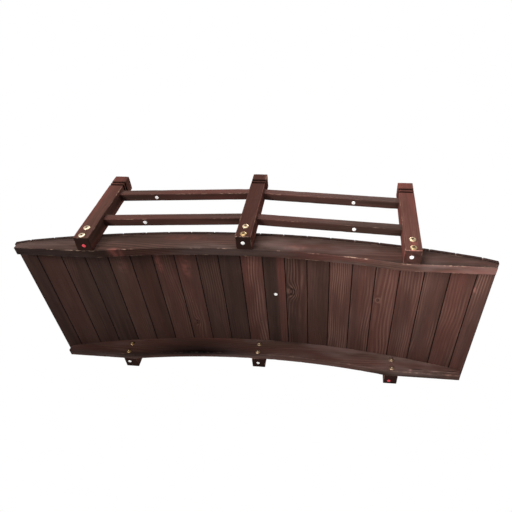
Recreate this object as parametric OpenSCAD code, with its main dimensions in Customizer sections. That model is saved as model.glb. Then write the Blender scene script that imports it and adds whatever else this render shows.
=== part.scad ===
// Arched garden footbridge of the moon bridge kind, in stained softwood.
// Two sawn stringers carry a deck of cross boards. Three posts on each side are bolted to
// the stringers' outer faces, and two straight rails slope up each bay to the middle post.
// Millimetres. The origin is on the ground under mid-span: +X along the bridge, +Y back, +Z up.

/* [Overall] */
// Length of the stringers along the ground
span = 1500; // [1200:10:1800]
// Width over both stringers, which is also the length of the deck boards
deck_w = 544; // [400:2:800]

/* [Stringers] */
// Thickness of each stringer plank
stringer_t = 28; // [20:1:45]
// Height of the stringers' upper arc at mid-span
crown_h = 113.5; // [100:0.5:150]
// Height that the upper arc would have at the very ends of the bridge
spring_h = 26; // [20:0.5:40]
// Height left at each cut-off tip, under the end board
tip_h = 22; // [10:0.5:24]
// Length of the flat foot at each end
foot_l = 266; // [150:2:350]
// Rise of the lower arch between the two feet
arch_rise = 39.5; // [15:0.5:50]

/* [Deck] */
// Width of a full deck board
board_w = 75.2; // [50:0.1:120]
// Joint between neighbouring boards, which lie close together
board_gap = 0.3; // [0.2:0.1:8]
// Thickness of the deck boards
board_t = 12; // [8:0.5:25]
// Length along each face of the flat on the boards' eased edges
board_ease = 2; // [0.5:0.1:3]
// Narrowest end board worth fitting
end_board_min = 20; // [10:1:40]
// Reach of the end boards past the ends of the stringers
end_overhang = 8; // [0:0.5:15]

/* [Posts] */
// Side of the square posts
post_w = 50; // [35:1:70]
// Length of every post
post_l = 369; // [300:1:600]
// Distance from each end of the stringers to the centre of the nearest posts
post_inset = 244; // [130:2:330]
// Height of the outer posts' lower ends above the ground
outer_post_lift = 1.5; // [0.5:0.5:10]
// Drop of the middle posts' lower ends below the crown of the lower arch
middle_post_drop = 1.5; // [0:0.5:10]
// Length along each face of the flat on the posts' eased edges
post_ease = 1.8; // [0.5:0.1:4]
// Distance from a post's top to the middle of its upper groove
groove_from_top = 42; // [20:1:60]
// Distance between the two grooves
groove_pitch = 16; // [10:1:30]
// Width of each groove
groove_w = 8; // [2:0.5:10]
// Depth of each groove
groove_d = 4; // [1:0.5:6]

/* [Rails] */
// Height of a rail's section
rail_h = 28; // [18:1:45]
// Depth of a rail's section, across the post
rail_d = 26.5; // [18:0.5:40]
// Height of the lower rail's centre line above the foot of each post
lower_rail_at = 128; // [100:1:180]
// Height of the upper rail's centre line above the foot of each post
upper_rail_at = 277; // [220:1:300]
// Length along each face of the flat on the rails' eased edges
rail_ease = 1.5; // [0.5:0.1:4]
// Depth to which a rail end is housed in its post
housing_d = 12; // [5:1:20]
// Clearance between a rail end and its housing, all round
housing_clear = 0.2; // [0.1:0.05:0.5]

/* [Bolt holes] */
// Diameter of the clearance holes for the coach bolts
bolt_hole_d = 8.5; // [6:0.5:12]
// Height of the lower bolt above the foot of each post
lower_bolt_at = 12.5; // [10:0.5:20]
// Distance between the two bolts of a post
bolt_pitch = 39; // [25:0.5:45]

/* [Hidden] */
// Segments of the long arcs and of the bolt holes
ARC_FN = 720;
HOLE_FN = 48;
// Overlap that cutting shapes reach past the faces they cut
PAST = 5;

STRINGER_COLOUR = [0.33, 0.24, 0.21];
BOARD_COLOUR = [0.30, 0.18, 0.15];
POST_COLOUR = [0.38, 0.24, 0.21];
RAIL_COLOUR = [0.34, 0.20, 0.17];

half = span / 2;
post_spread = half - post_inset;
outer_y = deck_w / 2;
post_y = outer_y + post_w / 2;

// Radius of an arc from its half chord and its rise
function arc_r(chord_half, rise) = (chord_half * chord_half + rise * rise) / (2 * rise);

upper_r = arc_r(half, crown_h - spring_h);
upper_z = crown_h - upper_r;
lower_r = arc_r(half - foot_l, arch_rise);

// Deck layout along the upper arc, counted from the board at mid-span
board_pitch = board_w + board_gap;
half_arc = upper_r * asin(half / upper_r) * PI / 180;
boards_a_side = floor((half_arc - end_board_min) / board_pitch - 0.5);
board_count = 2 * boards_a_side + 3;
board_turn = board_pitch / upper_r * 180 / PI;

// Straight tip on which the end board lies, from the last seam down to the cut-off end
seam_turn = (boards_a_side + 0.5) * board_turn;
seam = [upper_r * sin(seam_turn), upper_z + upper_r * cos(seam_turn)];
tip = [half, tip_h];
tip_along = (tip - seam) / norm(tip - seam);
tip_up = [-tip_along[1], tip_along[0]];

// Feet of the posts, and the slope that the rails take between them
outer_foot = outer_post_lift;
middle_foot = arch_rise - middle_post_drop;
rail_slope = atan2(middle_foot - outer_foot, post_spread);
rail_reach = housing_d - post_w / 2;

SIDES = ["front", "back"];
STATIONS = ["left", "middle", "right"];
BAYS = ["left", "right"];
LEVELS = ["lower", "upper"];

function side_sign(side) = side == "front" ? -1 : 1;
function station_x(station) = station == "left" ? -post_spread : station == "right" ? post_spread : 0;
function foot_z(station) = station == "middle" ? middle_foot : outer_foot;
function rail_at(level) = level == "lower" ? lower_rail_at : upper_rail_at;
function board_name(i) = str("board_", i < 9 ? "0" : "", i + 1);

// Corner points of an outline with every corner cut off by a small flat
function unit(v) = v / norm(v);
function eased(p, flat) = [
    for (i = [0 : len(p) - 1])
        let (before = p[(i + len(p) - 1) % len(p)], after = p[(i + 1) % len(p)])
        each [p[i] + unit(before - p[i]) * flat, p[i] + unit(after - p[i]) * flat]
];
function rectangle(w, h) = [[-w / 2, -h / 2], [w / 2, -h / 2], [w / 2, h / 2], [-w / 2, h / 2]];

// Turns an outline drawn in X and Z into a prism along Y, from y_low to y_high
module across(y_low, y_high) {
    translate([0, y_high, 0])
        rotate([90, 0, 0])
            linear_extrude(y_high - y_low)
                children();
}

// The two bolt holes of a post, bored through post and stringer together
module bolt_holes(station) {
    for (at = [lower_bolt_at, lower_bolt_at + bolt_pitch])
        translate([station_x(station), 0, foot_z(station) + at])
            rotate([90, 0, 0])
                cylinder(d = bolt_hole_d, h = deck_w + 2 * post_w + 2 * PAST, center = true, $fn = HOLE_FN);
}

// What is sawn off above the tip so that the end board lies lower than the arc
module tip_cut() {
    start = seam - tip_along * post_w;
    end = tip + tip_along * post_w;
    polygon([start, end, [end[0], crown_h + post_w], [start[0], crown_h + post_w]]);
}

module stringer_outline() {
    difference() {
        intersection() {
            translate([0, upper_z])
                circle(r = upper_r, $fn = ARC_FN);
            translate([-half, 0])
                square([span, crown_h + PAST]);
        }
        translate([0, arch_rise - lower_r])
            circle(r = lower_r, $fn = ARC_FN);
        tip_cut();
        mirror([1, 0])
            tip_cut();
    }
}

module stringer(side) {
    y_low = side == "front" ? -outer_y : outer_y - stringer_t;
    color(STRINGER_COLOUR)
        difference() {
            across(y_low, y_low + stringer_t)
                stringer_outline();
            for (t = STATIONS)
                bolt_holes(t);
        }
}

module full_board(turns) {
    translate([0, 0, upper_z])
        rotate([0, turns * board_turn, 0])
            translate([0, 0, upper_r + board_t / 2])
                across(-outer_y, outer_y)
                    polygon(eased(rectangle(board_w, board_t), board_ease));
}

// The ripped-down board on the tip, with its outer end cut plumb a little past the stringer
module end_board() {
    inner = seam + tip_along * board_gap / 2;
    outer_low = tip + tip_along * end_overhang / tip_along[0];
    outer_top = outer_low + [0, board_t / tip_along[0]];
    across(-outer_y, outer_y)
        polygon(eased([inner, outer_low, outer_top, inner + tip_up * board_t], board_ease));
}

module board(i) {
    place = i - boards_a_side - 1;
    color(BOARD_COLOUR)
        if (i == 0)
            mirror([1, 0, 0])
                end_board();
        else if (i == board_count - 1)
            end_board();
        else
            full_board(place);
}

// One rail with plumb ends, in the bay to the right of the middle post, grown by a clearance
module rail_bar(level, grow = 0) {
    low_x = -rail_reach - grow;
    high_x = post_spread + rail_reach + grow;
    section = eased(rectangle(rail_h + 2 * grow, rail_d + 2 * grow), rail_ease);
    intersection() {
        translate([0, 0, middle_foot + rail_at(level)])
            rotate([0, rail_slope, 0])
                translate([-post_w, 0, 0])
                    rotate([0, 90, 0])
                        linear_extrude(post_spread + 3 * post_w)
                            polygon(section);
        translate([low_x, -post_w, 0])
            cube([high_x - low_x, 2 * post_w, middle_foot + post_l]);
    }
}

module rail_place(side, bay, level, grow = 0) {
    translate([0, side_sign(side) * post_y, 0])
        mirror([bay == "left" ? 1 : 0, 0, 0])
            rail_bar(level, grow);
}

module rail(side, bay, level) {
    color(RAIL_COLOUR)
        rail_place(side, bay, level);
}

// Side view of a post with its end corners eased, run right through the billet
module post_side_view() {
    translate([0, 0, post_l / 2])
        across(-post_w, post_w)
            polygon(eased(rectangle(post_w, post_l), post_ease));
}

// Square billet with all its edges eased
module post_billet() {
    intersection() {
        linear_extrude(post_l)
            polygon(eased(rectangle(post_w, post_w), post_ease));
        post_side_view();
        rotate([0, 0, 90])
            post_side_view();
    }
}

module post_groove(from_top) {
    translate([0, 0, post_l - from_top - groove_w / 2])
        linear_extrude(groove_w)
            difference() {
                square(post_w + 2 * PAST, center = true);
                square(post_w - 2 * groove_d, center = true);
            }
}

module post(side, station) {
    color(POST_COLOUR)
        difference() {
            translate([station_x(station), side_sign(side) * post_y, foot_z(station)])
                difference() {
                    post_billet();
                    post_groove(groove_from_top);
                    post_groove(groove_from_top + groove_pitch);
                }
            bolt_holes(station);
            for (b = BAYS, l = LEVELS)
                if (station == "middle" || station == b)
                    rail_place(side, b, l, housing_clear);
        }
}

for (s = SIDES) {
    stringer(s);
    for (t = STATIONS)
        post(s, t);
    for (b = BAYS, l = LEVELS)
        rail(s, b, l);
}
for (i = [0 : board_count - 1])
    board(i);
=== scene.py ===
"""Finish of an arched garden footbridge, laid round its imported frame.

The timbers are rounded, worn and stained, the bolts, nuts and deck screws are added,
and the bridge stands on a plain stage with a camera that looks up at it from below.
"""

import math
import random
from collections import namedtuple
from itertools import product

import bmesh
import bpy
from bpy.props import FloatProperty, FloatVectorProperty, IntProperty, PointerProperty
from mathutils import Matrix, Vector, noise


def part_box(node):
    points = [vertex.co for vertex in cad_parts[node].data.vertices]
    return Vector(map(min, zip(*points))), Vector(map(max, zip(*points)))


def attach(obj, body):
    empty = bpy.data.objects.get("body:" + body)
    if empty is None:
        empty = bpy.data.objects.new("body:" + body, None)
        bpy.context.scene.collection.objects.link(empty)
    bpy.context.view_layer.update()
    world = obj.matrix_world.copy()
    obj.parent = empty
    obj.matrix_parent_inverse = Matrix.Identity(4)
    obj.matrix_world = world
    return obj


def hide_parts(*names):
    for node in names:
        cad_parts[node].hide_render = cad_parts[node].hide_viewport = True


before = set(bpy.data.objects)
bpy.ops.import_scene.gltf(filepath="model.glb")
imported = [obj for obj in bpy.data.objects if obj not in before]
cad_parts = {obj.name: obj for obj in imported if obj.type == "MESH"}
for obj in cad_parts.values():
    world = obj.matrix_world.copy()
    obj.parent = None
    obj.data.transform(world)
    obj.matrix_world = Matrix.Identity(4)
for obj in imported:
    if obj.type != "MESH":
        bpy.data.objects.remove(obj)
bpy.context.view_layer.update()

bl_info = {
    "name": "Moon Bridge Finish",
    "version": (1, 0, 0),
    "blender": (4, 5, 0),
    "location": "View3D > Sidebar > Moon Bridge",
    "description": "Stained timber, fittings and stage for an arched garden footbridge",
    "category": "Object",
}

MM = 0.001
SIDES = ("front", "back")
STATIONS = ("left", "middle", "right")
BAYS = ("left", "right")
LEVELS = ("lower", "upper")
BOARDS = sorted(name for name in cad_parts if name.startswith("board_"))
ALONG = Vector((1.0, 0.0, 0.0))
ACROSS = Vector((0.0, 1.0, 0.0))
UP = Vector((0.0, 0.0, 1.0))
WHITE = (1.0, 1.0, 1.0, 1.0)

# A stained or scuffed place on a timber, in metres, with what it adds to the tone and to the redness
Mark = namedtuple("Mark", "along across half_length half_width lift redden")


def stain(red, green, blue):
    """A colour written in display values from 0 to 255, as the linear value that sockets take."""
    def linear(c):
        c = c / 255
        return c / 12.92 if c <= 0.04045 else ((c + 0.055) / 1.055) ** 2.4
    return (linear(red), linear(green), linear(blue))


def colour(name, about, default):
    """A colour property."""
    return FloatVectorProperty(name=name, description=about, default=default, subtype="COLOR",
                               size=3, min=0, max=1)


def length(name, about, default_mm):
    """A length property, given in millimetres and kept in metres."""
    return FloatProperty(name=name, description=about, default=default_mm * MM, subtype="DISTANCE",
                         unit="LENGTH", min=0)


def amount(name, about, default, high=10.0):
    """A plain number property."""
    return FloatProperty(name=name, description=about, default=default, min=0, max=high)


class TimberLooks(bpy.types.PropertyGroup):
    """Stain, grain and wear that every timber shares."""
    stain_dark: colour("Dark stain", "Stain where it soaked in most", stain(44, 32, 27))
    stain_mid: colour("Middle stain", "Stain on plain wood", stain(80, 58, 52))
    stain_light: colour("Thin stain", "Stain on hard, shiny grain", stain(122, 90, 79))
    stain_red: colour("Red stain", "Patches where the red of the stain shows", stain(95, 55, 49))
    dust: colour("Dust", "Greyish haze on faces that stood outdoors", stain(101, 84, 80))
    bare_wood: colour("Bare wood", "Wood showing where edges are rubbed", stain(178, 146, 126))
    # Seam also gives the painted shade in the posts' grooves and in the open split of the back stringer
    seam_dirt_and_shade: colour("Seam", "Dirt that gathers in seams and grooves", stain(18, 11, 8))
    end_dark: colour("End grain", "Stain soaked into sawn ends", stain(37, 26, 23))
    arris: length("Arris", "Radius to which the long edges are eased", 1.8)
    chip_depth: length("Chip depth", "Deepest chip along an edge", 1.5)
    chip_reach: length("Chip reach", "How far a chip runs in from its edge", 4.5)
    swell: length("Swell", "Height of the slow unevenness of the faces", 0.22)
    board_spread: length("Board spread", "Widening of each board's edges that closes the joints", 0.22)
    end_closure: length("End closure", "How far an end board reaches in under the slope of the next one", 1.2)
    broken_corner: length("Broken corner", "Leg of the bevel on the corners of the deck boards", 2.7)
    cell: length("Mesh cell", "Length of a mesh cell along the grain", 7)


class BridgeSizes(bpy.types.PropertyGroup):
    """Forms that a node's box doesn't give."""
    spring_h: length("Spring height", "Height of the upper arc at the very ends", 26)
    tip_h: length("Tip height", "Height of the stringer under the end board", 22)
    foot_l: length("Foot", "Length of the flat foot at each end", 266)
    arch_rise: length("Arch rise", "Rise of the lower arch", 39.5)
    groove_from_top: length("Groove place", "From a post's top to its upper groove", 42)
    groove_pitch: length("Groove pitch", "Between the two grooves", 16)
    groove_w: length("Groove width", "Width of a groove", 8)
    groove_d: length("Groove depth", "Depth of a groove", 4)
    housing_d: length("Housing", "Depth to which rail ends are housed", 12)
    lower_bolt_at: length("Lower bolt", "Height of the lower bolt above a post's foot", 12.5)
    bolt_pitch: length("Bolt pitch", "Between the two bolts of a post", 39)
    redder_from: IntProperty(name="Redder from", default=15, min=1, max=22,
                             description="First board cut from the redder batch")


class FittingLooks(bpy.types.PropertyGroup):
    """Bolts, nuts, screws and paper dots."""
    zinc: colour("Zinc", "Yellow passivated zinc plate", stain(162, 135, 98))
    zinc_dull: colour("Dull zinc", "Zinc where it has gone dull", stain(116, 93, 56))
    # Also painted light: the nuts are made paler towards this colour for the light and highlights on them
    zinc_rubbed_and_painted_light: colour("Pale zinc", "Zinc where its yellow has rubbed off", stain(214, 194, 170))
    dot_white: colour("White dot", "Plain white paper dot", stain(252, 250, 247))
    dot_red: colour("Red dot", "Plain red paper dot", stain(214, 62, 74))
    head_d: length("Bolt head", "Diameter of a bolt's low round head", 21)
    head_h: length("Bolt head height", "Height of a bolt's head", 4.2)
    recess_d: length("Recess", "Width of the cross recess in a bolt's head", 10.5)
    washer_d: length("Washer", "Diameter of the washer under a nut", 18)
    nut_d: length("Nut", "Width across the flats of a nut", 13)
    thread_d: length("Thread", "Diameter of the bolt's thread", 6.5)
    screw_d: length("Deck screw", "Diameter of a deck screw's head", 7.6)
    dot_d: length("Dot", "Diameter of a paper dot", 12.5)


class StageLooks(bpy.types.PropertyGroup):
    """Floor, lamps, world and camera."""
    floor: colour("Floor", "Plain pale floor", stain(236, 236, 236))
    ambient: amount("Ambient", "Strength of the even light from all round", 0.3)
    under_power: amount("Under lamp", "Watts of the lamp low in front, on the left", 180, 2000)
    deck_power: amount("Deck lamp", "Watts of the gridded lamp under the right half", 1.15, 2000)
    front_power: amount("Front lamp", "Watts of the broad lamp in front", 56, 2000)
    back_power: amount("Back lamp", "Watts of the broad lamp behind", 50, 2000)
    top_power: amount("Top lamp", "Watts of the broad lamp overhead", 95, 2000)
    eye: FloatVectorProperty(name="Eye", description="Place of the camera", size=3,
                             default=(0.2933, -1.2027, -1.1025), subtype="XYZ", unit="LENGTH")
    turn: FloatVectorProperty(name="Turn", description="Turn of the camera", size=3, subtype="EULER",
                              default=tuple(math.radians(a) for a in (136.566, -6.5215, 2.4083)))
    lens: amount("Lens", "Focal length on a 36 mm frame", 33.75, 200)
    shift_x: FloatProperty(name="Shift X", description="Framing to the side", default=-0.0542)
    shift_y: FloatProperty(name="Shift Y", description="Framing upwards", default=0.0594)


class BridgeSettings(bpy.types.PropertyGroup):
    """All that can be changed on the bridge's finish."""
    timber: PointerProperty(type=TimberLooks)
    sizes: PointerProperty(type=BridgeSizes)
    fittings: PointerProperty(type=FittingLooks)
    stage: PointerProperty(type=StageLooks)


def settings():
    return bpy.context.scene.moon_bridge


# Node trees

class Tree:
    """Adds and joins the nodes of one tree."""

    # Kinds of the sockets through which the shared groups are fed
    SOCKETS = {"Grain": "NodeSocketVector", "Knot": "NodeSocketVector", "Ring Gap": "NodeSocketFloat",
               "Rim": "NodeSocketFloat", "Wear": "NodeSocketFloat"}
    # Places of a Mix node's two colours among its inputs, and of the mixed one among its outputs
    MIX_FROM = (6, 7)
    MIX_TO = 2

    def __init__(self, tree):
        self.tree = tree
        self.tree.nodes.clear()

    def node(self, kind, inputs=None, **values):
        made = self.tree.nodes.new(kind)
        for key, value in values.items():
            setattr(made, key, value)
        for key, value in (inputs or {}).items():
            self.feed(made.inputs[key], value)
        return made

    def feed(self, socket, value):
        """Joins a socket to another, or sets its value."""
        if isinstance(value, bpy.types.NodeSocket):
            self.tree.links.new(value, socket)
        else:
            socket.default_value = value

    def group(self, name, build, inputs):
        """Outputs of a shared group, whose nodes and masks build makes on its first use."""
        group = bpy.data.node_groups.get(name)
        if group is None:
            group = bpy.data.node_groups.new(name, "ShaderNodeTree")
            for socket in inputs:
                group.interface.new_socket(socket, in_out="INPUT", socket_type=self.SOCKETS[socket])
            inner = Tree(group)
            masks = build(inner, inner.node("NodeGroupInput").outputs)
            for socket in masks:
                group.interface.new_socket(socket, in_out="OUTPUT", socket_type="NodeSocketFloat")
            inner.node("NodeGroupOutput", masks)
        return self.node("ShaderNodeGroup", inputs, node_tree=group).outputs

    def attribute(self, name, output="Vector"):
        return self.node("ShaderNodeAttribute", attribute_name=name).outputs[output]

    def object_place(self):
        return self.node("ShaderNodeTexCoord").outputs["Object"]

    def parts(self, vector):
        """X, Y and Z of a vector."""
        return self.node("ShaderNodeSeparateXYZ", {0: vector}).outputs

    def calc(self, operation, *values):
        made = self.node("ShaderNodeMath", operation=operation)
        for socket, value in zip(made.inputs, values):
            self.feed(socket, value)
        return made.outputs[0]

    def times(self, first, second):
        return self.calc("MULTIPLY", first, second)

    def total(self, *parts):
        """Sum of (value, weight) pairs."""
        (value, weight), *others = parts
        result = self.times(value, weight)
        for value, weight in others:
            result = self.calc("MULTIPLY_ADD", value, weight, result)
        return result

    def hypot(self, *legs):
        return self.calc("SQRT", self.total(*((self.calc("POWER", leg, 2.0), 1.0) for leg in legs)))

    def grain_noise(self, vector, along, across, detail=2.0, rough=0.5, distortion=0.0):
        """Noise with its own number of waves to a metre along the grain and across it."""
        scale = (along, across, across)
        place = self.node("ShaderNodeVectorMath", {0: vector, 1: scale}, operation="MULTIPLY").outputs[0]
        return self.node("ShaderNodeTexNoise", {
            "Vector": place, "Scale": 1.0, "Detail": detail,
            "Roughness": rough, "Distortion": distortion}).outputs["Fac"]

    def fade(self, value, low, high, to_low=0.0, to_high=1.0):
        """Smooth step of a value from low to high."""
        return self.node("ShaderNodeMapRange", {
            "Value": value, "From Min": low, "From Max": high, "To Min": to_low, "To Max": to_high},
            interpolation_type="SMOOTHSTEP").outputs["Result"]

    def mix(self, factor, first, second):
        """The first colour with some of the second."""
        made = self.node("ShaderNodeMix", {"Factor": factor}, data_type="RGBA")
        for place, value in zip(self.MIX_FROM, (first, second)):
            self.feed(made.inputs[place], (*value, 1.0) if isinstance(value, tuple) else value)
        return made.outputs[self.MIX_TO]

    def mix_shaders(self, factor, first, second):
        return self.node("ShaderNodeMixShader", {0: factor, 1: first, 2: second}).outputs[0]

    def surface(self, inputs, height, strength, depth):
        """Ends a material in a Principled shader with a bump of this height, strength and depth."""
        bump = self.node("ShaderNodeBump", {"Strength": strength, "Distance": depth, "Height": height})
        shader = self.node("ShaderNodeBsdfPrincipled", {**inputs, "Normal": bump.outputs[0]})
        self.node("ShaderNodeOutputMaterial", {"Surface": shader.outputs[0]})


def knot_nodes(tree, given):
    """How the grain swerves round a knot, its dark bark ring, and the flames close to it."""
    squeeze, reach = 0.62, 5.0
    grain, knot = tree.parts(given["Grain"]), tree.parts(given["Knot"])
    along = tree.times(tree.calc("SUBTRACT", grain[0], knot[0]), squeeze)
    across = tree.calc("SUBTRACT", grain[1], knot[1])
    radii = tree.calc("DIVIDE", tree.hypot(along, across), knot[2])
    near = tree.calc("POWER", tree.fade(radii, 0.0, reach, 1.0, 0.0), 2.0)
    bark = tree.times(tree.fade(radii, 0.35, 0.9), tree.fade(radii, 0.9, 1.5, 1.0, 0.0))
    heart = tree.calc("MAXIMUM", bark, tree.fade(radii, 0.0, 0.9, 0.6, 0.0))
    return {"Swerve": tree.times(near, knot[2]), "Heart": heart, "Near": near}


def grain_nodes(tree, given):
    """Growth rings, broad bands, streaks and fibres of a sawn timber, along the grain attribute."""
    log_heart_depth, swerve_strength, ring_sharpness = 0.022, 2.2, 1.7
    grain = given["Grain"]
    _, across, deep = tree.parts(grain)
    knot = tree.group("Knot", knot_nodes, {"Grain": grain, "Knot": given["Knot"]})
    drift = tree.calc("SUBTRACT", tree.grain_noise(grain, 1.6, 4.0), 0.5)
    wander = tree.calc("SUBTRACT", tree.grain_noise(grain, 9.0, 30.0), 0.5)
    side = tree.total((across, 1.0), (drift, 0.085), (wander, 0.004))
    radius = tree.hypot(side, tree.calc("ADD", deep, log_heart_depth))
    radius = tree.calc("MULTIPLY_ADD", knot["Swerve"], swerve_strength, radius)
    wave = tree.calc("SINE", tree.times(tree.calc("DIVIDE", radius, given["Ring Gap"]), 2 * math.pi))
    ring = tree.calc("POWER", tree.total((wave, 0.5), (0.5, 1.0)), ring_sharpness)
    patch = tree.fade(tree.grain_noise(grain, 3.2, 12.0), 0.42, 0.64)
    patch = tree.calc("ADD", tree.calc("MAXIMUM", patch, knot["Near"]), knot["Near"])
    streaks = tree.grain_noise(grain, 2.4, 62.0, 3.0, 0.6, 0.3)
    broad = tree.grain_noise(grain, 1.1, 15.0, 1.0)
    clouds = tree.grain_noise(grain, 6.0, 11.0, 3.0, 0.55)
    return {
        "Flames": tree.times(ring, patch),
        "Bands": tree.total((broad, 0.36), (streaks, 0.44), (clouds, 0.20)),
        "Fibres": tree.grain_noise(grain, 16.0, 520.0, 2.0, 0.6),
        "Heart": knot["Heart"],
    }


def rubbed_nodes(tree, given):
    """Mask of rubbed edges and stray scuffs, from the distance to the nearest edge."""
    rubbed_to, scuff_strength = (0.6 * MM, 3.0 * MM), 0.45
    grain = given["Grain"]
    patch = tree.fade(tree.grain_noise(grain, 13.0, 24.0, 3.0, 0.6), 0.46, 0.66)
    specks = tree.fade(tree.grain_noise(grain, 70.0, 210.0, 2.0, 0.6), 0.42, 0.62)
    edge = tree.times(tree.fade(given["Rim"], *rubbed_to, 1.0, 0.0), tree.times(patch, specks))
    scuff = tree.fade(tree.grain_noise(grain, 150.0, 34.0, 2.0, 0.55, 0.6), 0.745, 0.80)
    scuff = tree.times(scuff, tree.times(patch, scuff_strength))
    both = tree.times(tree.calc("MAXIMUM", edge, scuff), given["Wear"])
    return {"Rubbed": tree.calc("MINIMUM", both, 1.0)}


def timber_nodes(tree, ring_gap, contrast, even_red=0.0, dusty=0.0, seam=0.0, shine=0.03):
    """Stained softwood: the shared grain and wear groups with this timber's own values."""
    pale_flames, dark_fibres, dark_heart, dark_ends = 0.55, 0.30, 0.62, 0.85
    band_width, seam_width, roughness = 0.13, (1.1 * MM, 2.9 * MM), 0.6
    look = settings().timber
    grain = tree.attribute("grain")
    rim = tree.attribute("rim", "Fac")
    tone, red, flame = tree.parts(tree.attribute("nature"))
    painted_shade, cut, wear = tree.parts(tree.attribute("marks"))
    flames, bands, fibres, heart = tree.group("Sawn Grain", grain_nodes, {
        "Grain": grain, "Knot": tree.attribute("knot"), "Ring Gap": ring_gap})
    rubbed = tree.group("Rubbed Edges", rubbed_nodes, {"Grain": grain, "Rim": rim, "Wear": wear})[0]
    reach = band_width / contrast
    base = tree.mix(tree.fade(bands, 0.5 - reach, 0.5 + reach), look.stain_dark[:], look.stain_mid[:])
    red_patch = tree.fade(tree.grain_noise(grain, 1.4, 16.0), 0.42, 0.62, even_red, 1.0)
    red_mask = tree.calc("MAXIMUM", tree.times(red_patch, red), tree.calc("SUBTRACT", red, 1.0))
    base = tree.mix(tree.calc("MINIMUM", red_mask, 1.0), base, look.stain_red[:])
    base = tree.mix(tree.times(tree.times(flames, flame), pale_flames), base, look.stain_light[:])
    base = tree.mix(tree.fade(fibres, 0.35, 0.65, dark_fibres, 0.0), base, look.stain_dark[:])
    if dusty:
        haze = tree.fade(tree.grain_noise(grain, 4.0, 15.0, 3.0, 0.55), 0.42, 0.70)
        base = tree.mix(tree.times(haze, dusty), base, look.dust[:])
    base = tree.mix(tree.times(heart, dark_heart), base, look.seam_dirt_and_shade[:])
    base = tree.node("ShaderNodeVectorMath", {0: base, "Scale": tone}, operation="SCALE").outputs[0]
    base = tree.mix(tree.times(cut, dark_ends), base, look.end_dark[:])
    base = tree.mix(rubbed, base, look.bare_wood[:])
    if seam:
        base = tree.mix(tree.fade(rim, *seam_width, seam, 0.0), base, look.seam_dirt_and_shade[:])
    # Painted shade in the posts' grooves and in the open split of the back stringer
    base = tree.mix(painted_shade, base, look.seam_dirt_and_shade[:])
    rough = tree.total((flames, -0.10), (rubbed, 0.2), (1.0, roughness))
    height = tree.total((flames, 0.35), (fibres, 0.45), (bands, 0.35), (heart, -0.5), (rubbed, -0.6))
    tree.surface({"Base Color": base, "Roughness": rough, "Specular IOR Level": shine},
                 height, strength=0.4, depth=0.7 * MM)


def zinc_nodes(tree):
    """Yellow passivated zinc plate, duller in patches, paler where it is rubbed and, as painted light, on the
    nuts, and dark with painted shade in its hollows.
    """
    hollow_shade, roughness = 0.12, 0.32
    look = settings().fittings
    place = tree.object_place()
    patch = tree.fade(tree.grain_noise(place, 130.0, 130.0, 3.0, 0.6), 0.40, 0.68)
    fine = tree.grain_noise(place, 900.0, 900.0)
    base = tree.mix(patch, look.zinc[:], look.zinc_dull[:])
    base = tree.mix(tree.attribute("pale", "Fac"), base, look.zinc_rubbed_and_painted_light[:])
    # Painted shade in the recesses and where parts meet
    base = tree.mix(tree.attribute("painted_shade", "Fac"), base, tuple(c * hollow_shade for c in look.zinc_dull))
    rough = tree.total((patch, 0.15), (fine, 0.1), (1.0, roughness))
    tree.surface({"Base Color": base, "Metallic": 1.0, "Roughness": rough},
                 fine, strength=0.12, depth=0.2 * MM)


def paper_nodes(tree, shade):
    """Plain paper, a little mottled."""
    mottle_shade, mottling, roughness = 0.72, 0.12, 0.6
    mottle = tree.grain_noise(tree.object_place(), 700.0, 700.0, 3.0)
    base = tree.mix(tree.fade(mottle, 0.3, 0.7, 0.0, mottling), shade, tuple(c * mottle_shade for c in shade))
    tree.surface({"Base Color": base, "Roughness": roughness}, mottle, strength=0.1, depth=0.1 * MM)


def floor_nodes(tree):
    """A pale floor that is seen only from above, takes the bridge's shadow and fades to white."""
    fade_from, fade_to, least_white = 0.6, 2.4, 0.62
    seen = tree.node("ShaderNodeLightPath").outputs["Is Camera Ray"]
    below = tree.node("ShaderNodeNewGeometry").outputs["Backfacing"]
    shown = tree.times(seen, tree.calc("SUBTRACT", 1.0, below))
    clear = tree.node("ShaderNodeBsdfTransparent").outputs[0]
    plain = tree.node("ShaderNodeBsdfDiffuse", {"Color": (*settings().stage.floor, 1.0)}).outputs[0]
    white = tree.node("ShaderNodeEmission", {"Color": WHITE, "Strength": 1.0}).outputs[0]
    away = tree.node("ShaderNodeVectorMath", {0: tree.object_place()}, operation="LENGTH").outputs["Value"]
    pale = tree.mix_shaders(tree.fade(away, fade_from, fade_to, least_white, 1.0), plain, white)
    tree.node("ShaderNodeOutputMaterial", {"Surface": tree.mix_shaders(shown, clear, pale)})


def finish_of(name, nodes, **values):
    """The material of a name, whose nodes are added on its first use."""
    material = bpy.data.materials.get(name)
    if material is None:
        material = bpy.data.materials.new(name)
        material.use_nodes = True
        nodes(Tree(material.node_tree), **values)
    return material


# Meshes

# Angle between two faces from which their edge is drawn sharp
SHARP_ANGLE = math.radians(38)
# Distance from a block's edges to its first cuts, in arrises
EDGE_MARGIN = 2.2
# Waves to a metre of the faces' swell, of the chips along edges and of the mottling of marks
SWELL_WAVES = 9.0
CHIP_WAVES = Vector((34.0, 60.0, 60.0))
MOTTLE_WAVES = 85.0
# Distance within which a cut takes a point to lie on it
ON_CUT = 1e-7
# Noise above which an edge is chipped, and mean strength of a mottled mark
CHIPPED_FROM = 0.22
MOTTLE_MEAN = 0.75
# Ranges of where in its log a timber starts, and of how far its noise is shifted
LOG_STARTS = ((0, 40), (-0.03, 0.03), (-0.02, 0.02))
NOISE_SHIFTS = ((0, 90), (0, 90), (0, 90))
# Place and radius of a knot that lies off its timber, for timbers without one
NO_KNOT = (9.0, 0.0, 5 * MM)


def add_object(name, data):
    made = bpy.data.objects.new(name, data)
    bpy.context.scene.collection.objects.link(made)
    return made


def mesh_of(name, bm):
    mesh = bpy.data.meshes.new(name)
    bm.to_mesh(mesh)
    return mesh


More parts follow.
